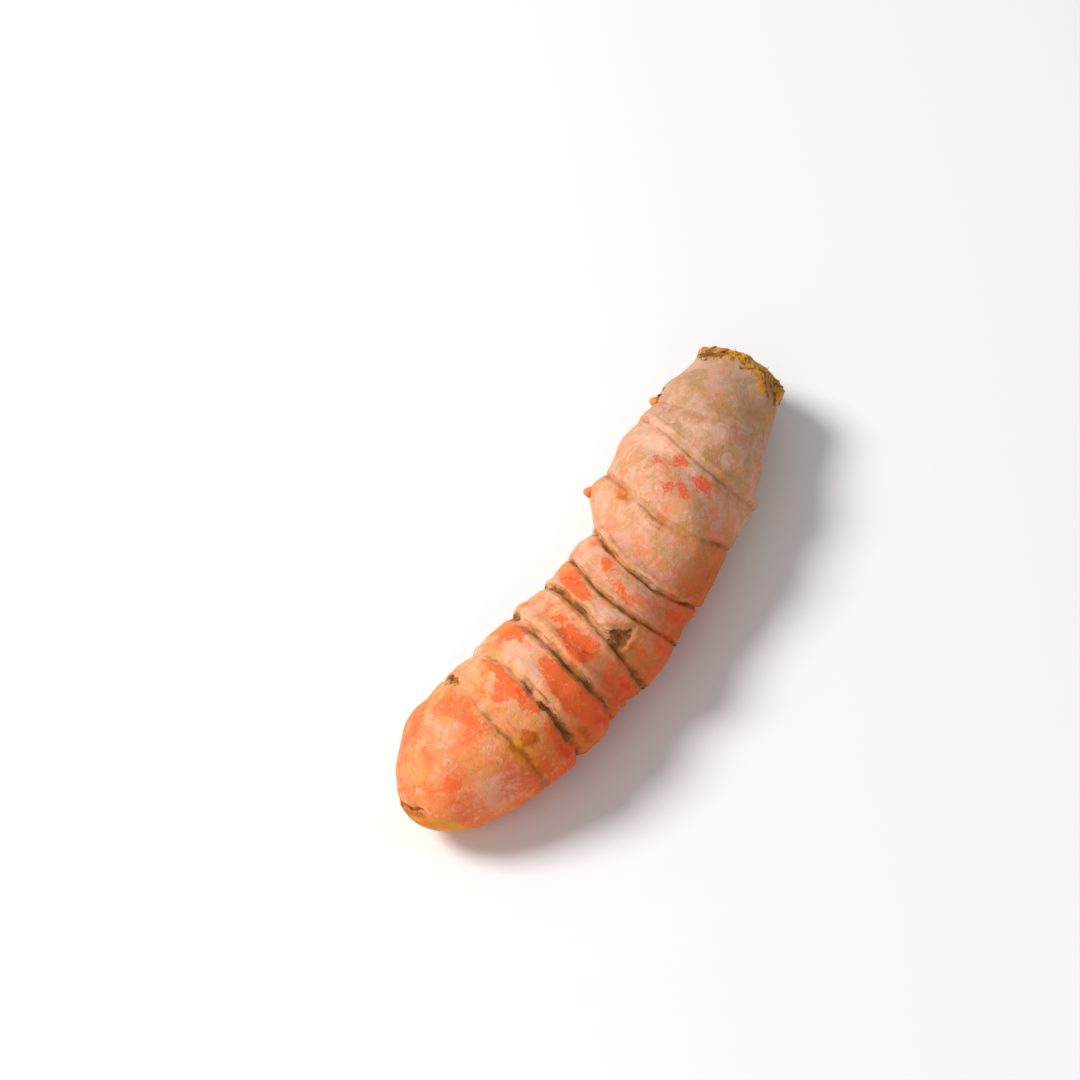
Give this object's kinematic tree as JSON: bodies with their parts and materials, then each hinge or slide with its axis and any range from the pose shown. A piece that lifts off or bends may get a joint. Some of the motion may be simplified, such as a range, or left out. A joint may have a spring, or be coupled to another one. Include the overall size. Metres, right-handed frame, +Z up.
{
  "type": "turmeric root",
  "caption": "Fresh turmeric finger: a gently bent, ringed rhizome with a blunt growing tip, low knobs and buds, and a broken crown end.",
  "frame": {"origin": "middle of the root's bounding box, on the surface it lies on", "axes": "+X along the root from the growing tip to the broken crown, +Z up, +Y across"},
  "size_m": [0.1042, 0.028, 0.023],
  "materials": {
    "skin": "thin waxy root skin, orange under a dusty pink-tan bloom, brown at the rings"
  },
  "bodies": {
    "root": {"rhizome": "skin"}
  },
  "joints": []
}
